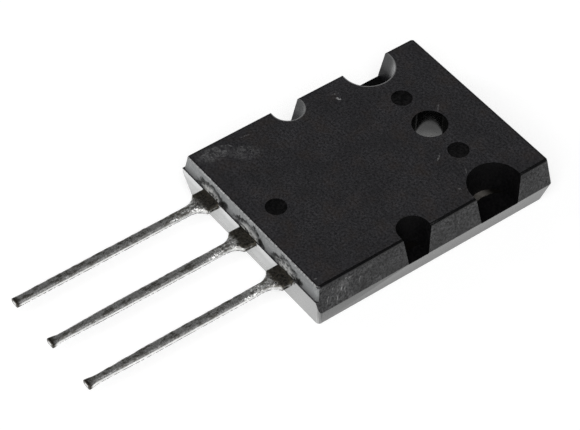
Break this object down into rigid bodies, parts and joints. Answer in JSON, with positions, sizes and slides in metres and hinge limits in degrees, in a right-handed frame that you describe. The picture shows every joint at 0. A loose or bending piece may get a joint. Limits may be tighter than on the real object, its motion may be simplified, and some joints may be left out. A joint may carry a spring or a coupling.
{
  "type": "power transistor",
  "caption": "Large flat plastic power transistor with one mounting hole, side notches, an exposed heat-sink back and three leads in a row.",
  "frame": {"origin": "centre of the mounting hole in the plane of the back, which is the heat-sink face", "axes": "+Z out of the front face, leads towards -Y, base lead at -X and emitter lead at +X"},
  "size_m": [0.0198, 0.0461, 0.005],
  "materials": {
    "moulding_compound": "fine matte, black",
    "plated_copper": "tin plated, dulled and mottled",
    "solder": "dull",
    "silicon": "polished, metallised",
    "bond_wire": "bright"
  },
  "bodies": {
    "root": {"moulded_case": "moulding_compound", "collector_frame": "plated_copper", "base_lead": "plated_copper", "emitter_lead": "plated_copper", "die_solder": "solder", "transistor_die": "silicon", "base_bond_wire": "bond_wire", "emitter_bond_wire_1": "bond_wire", "emitter_bond_wire_2": "bond_wire"}
  },
  "joints": []
}
